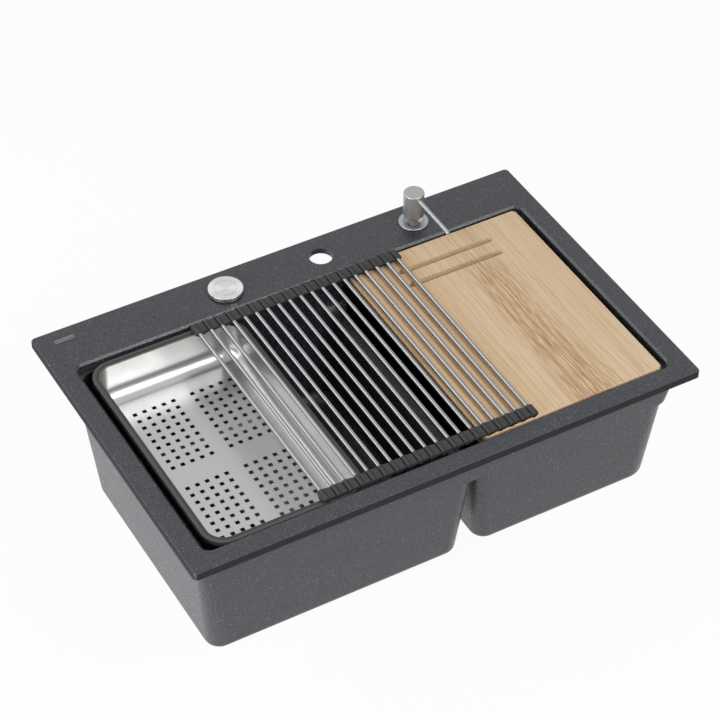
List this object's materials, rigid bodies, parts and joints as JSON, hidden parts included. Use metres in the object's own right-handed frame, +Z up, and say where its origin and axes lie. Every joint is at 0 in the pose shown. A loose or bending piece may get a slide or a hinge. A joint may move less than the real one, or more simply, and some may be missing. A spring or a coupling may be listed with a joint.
{
  "type": "workstation kitchen sink",
  "caption": "Inset double-bowl kitchen sink with a ledged recess that carries a colander, a roll-up drying mat and a cutting board, with pop-up wastes and a soap dispenser.",
  "frame": {"origin": "middle of the rim's footprint, on the worktop's surface that the rim stands on", "axes": "+X to the right, +Y to the back where the tap deck is, +Z up, seen by someone standing at the sink"},
  "size_m": [0.78, 0.51, 0.362],
  "materials": {
    "granite_composite": "matt anthracite composite with fine light specks",
    "foam": "matt foam strip",
    "black_rubber": "matt rubber",
    "silicone": "matt silicone",
    "steel": "brushed stainless steel",
    "bright_steel": "polished stainless steel",
    "cover_steel": "satin steel, dark in the bowl's shade",
    "grey_plastic": "satin dark grey plastic",
    "black_plastic": "matt black plastic",
    "white_plastic": "matt white plastic",
    "light_wood": "oiled light ash"
  },
  "bodies": {
    "basin": {"sink_basin": "granite_composite", "perimeter_seal": "foam", "left_waste_flange": "steel", "left_waste_gasket": "black_rubber", "left_waste_body": "white_plastic", "left_waste_screw": "steel", "right_waste_flange": "steel", "right_waste_gasket": "black_rubber", "right_waste_body": "white_plastic", "right_waste_screw": "steel", "knob_gasket": "black_rubber", "knob_housing": "black_plastic", "knob_nut": "black_plastic", "pump_collar": "bright_steel", "pump_gasket": "black_rubber", "pump_nut": "black_plastic", "soap_bottle": "white_plastic", "pump_cylinder": "white_plastic", "pump_spring": "steel", "dip_tube": "white_plastic"},
    "knob": {"control_knob": "steel"},
    "left_plug": {"left_drain_cover": "cover_steel", "left_plug_seal": "black_rubber"},
    "right_plug": {"right_drain_cover": "cover_steel", "right_plug_seal": "black_rubber"},
    "colander": {"colander_frame": "grey_plastic", "colander_tray": "steel"},
    "mat": {"mat_rods": "steel", "mat_strip_front": "silicone", "mat_strip_back": "silicone"},
    "board": {"cutting_board": "light_wood"},
    "plunger": {"pump_piston": "bright_steel"},
    "head": {"pump_head": "bright_steel", "pump_spout": "bright_steel"}
  },
  "joints": [
    {"name": "knob_turn", "type": "hinge", "parent": "basin", "child": "knob", "pos_m": [-0.1063, 0.21, 0.0195], "axis": [0, 0, 1], "range_deg": [-90, 0]},
    {"name": "left_plug_lift", "type": "slide", "parent": "basin", "child": "left_plug", "axis": [0, 0, 1], "range_m": [0, 0.01]},
    {"name": "right_plug_lift", "type": "slide", "parent": "basin", "child": "right_plug", "axis": [0, 0, 1], "range_m": [0, 0.01]},
    {"name": "colander_slide", "type": "slide", "parent": "basin", "child": "colander", "axis": [1, 0, 0], "range_m": [-0.01, 0.085]},
    {"name": "board_slide", "type": "slide", "parent": "basin", "child": "board", "axis": [1, 0, 0], "range_m": [-0.085, 0.001]},
    {"name": "mat_lift", "type": "slide", "parent": "basin", "child": "mat", "axis": [0, 0, 1], "range_m": [0, 0.025]},
    {"name": "pump_press", "type": "slide", "parent": "basin", "child": "plunger", "axis": [0, 0, -1], "range_m": [0, 0.01], "stiffness_N_per_m": 300, "springref_m": -0.012, "deforming": ["pump_spring"]},
    {"name": "head_swivel", "type": "hinge", "parent": "plunger", "child": "head", "pos_m": [0.2047, 0.214, 0.04], "axis": [0, 0, 1], "range_deg": [-180, 180]}
  ],
  "couplings": [
    {"joint": "knob_turn", "follows": "left_plug_lift", "rad_per_m": -157.08},
    {"joint": "right_plug_lift", "follows": "left_plug_lift", "ratio": 1}
  ]
}
